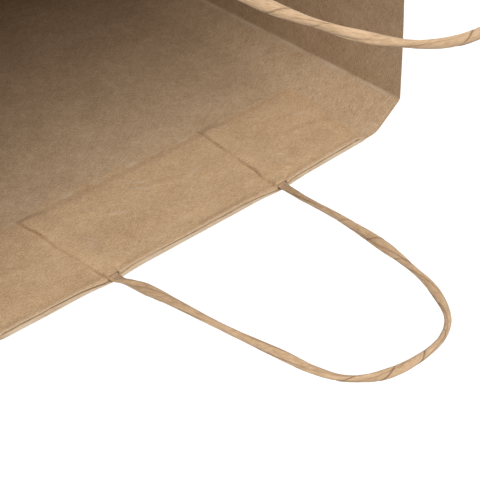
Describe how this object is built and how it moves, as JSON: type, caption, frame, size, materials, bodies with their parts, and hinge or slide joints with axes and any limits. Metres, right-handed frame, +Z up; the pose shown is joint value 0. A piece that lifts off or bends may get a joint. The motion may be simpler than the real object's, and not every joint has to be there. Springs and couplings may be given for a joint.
{
  "type": "gift bag",
  "caption": "Open kraft paper gift bag with a folded block bottom, creased side gussets and twisted paper cord handles glued inside the rim under reinforcing patches.",
  "frame": {"origin": "centre of the base, on the surface that the bag stands on", "axes": "+Z up through the mouth, +X along the wide walls towards the right gusset, +Y from the front wall to the back wall"},
  "size_m": [0.25, 0.1304, 0.4258],
  "materials": {
    "kraft_sheet": "machine-glazed brown kraft, matt inside",
    "kraft_patch": "smooth brown kraft, matt",
    "paper_cord": "kraft strip twisted into a cord, matt"
  },
  "bodies": {
    "bag": {"front_wall": "kraft_sheet", "back_wall": "kraft_sheet", "right_gusset_front_half": "kraft_sheet", "right_gusset_back_half": "kraft_sheet", "left_gusset_front_half": "kraft_sheet", "left_gusset_back_half": "kraft_sheet", "side_seam_flap": "kraft_sheet", "bottom_front_flap": "kraft_sheet", "bottom_back_flap": "kraft_sheet", "bottom_left_flap": "kraft_sheet", "bottom_right_flap": "kraft_sheet", "front_patch_outer_strip": "kraft_patch", "front_patch_inner_strip": "kraft_patch", "back_patch_outer_strip": "kraft_patch", "back_patch_inner_strip": "kraft_patch", "front_left_cord_end": "paper_cord", "front_right_cord_end": "paper_cord", "back_left_cord_end": "paper_cord", "back_right_cord_end": "paper_cord"},
    "front_handle": {"front_handle_loop": "paper_cord"},
    "back_handle": {"back_handle_loop": "paper_cord"}
  },
  "joints": [
    {"name": "front_handle_tilt", "type": "hinge", "parent": "bag", "child": "front_handle", "pos_m": [0, -0.06296, 0.326], "axis": [-1, 0, 0], "range_deg": [-135, 37]},
    {"name": "back_handle_tilt", "type": "hinge", "parent": "bag", "child": "back_handle", "pos_m": [0, 0.06296, 0.326], "axis": [1, 0, 0], "range_deg": [-135, 37]}
  ]
}
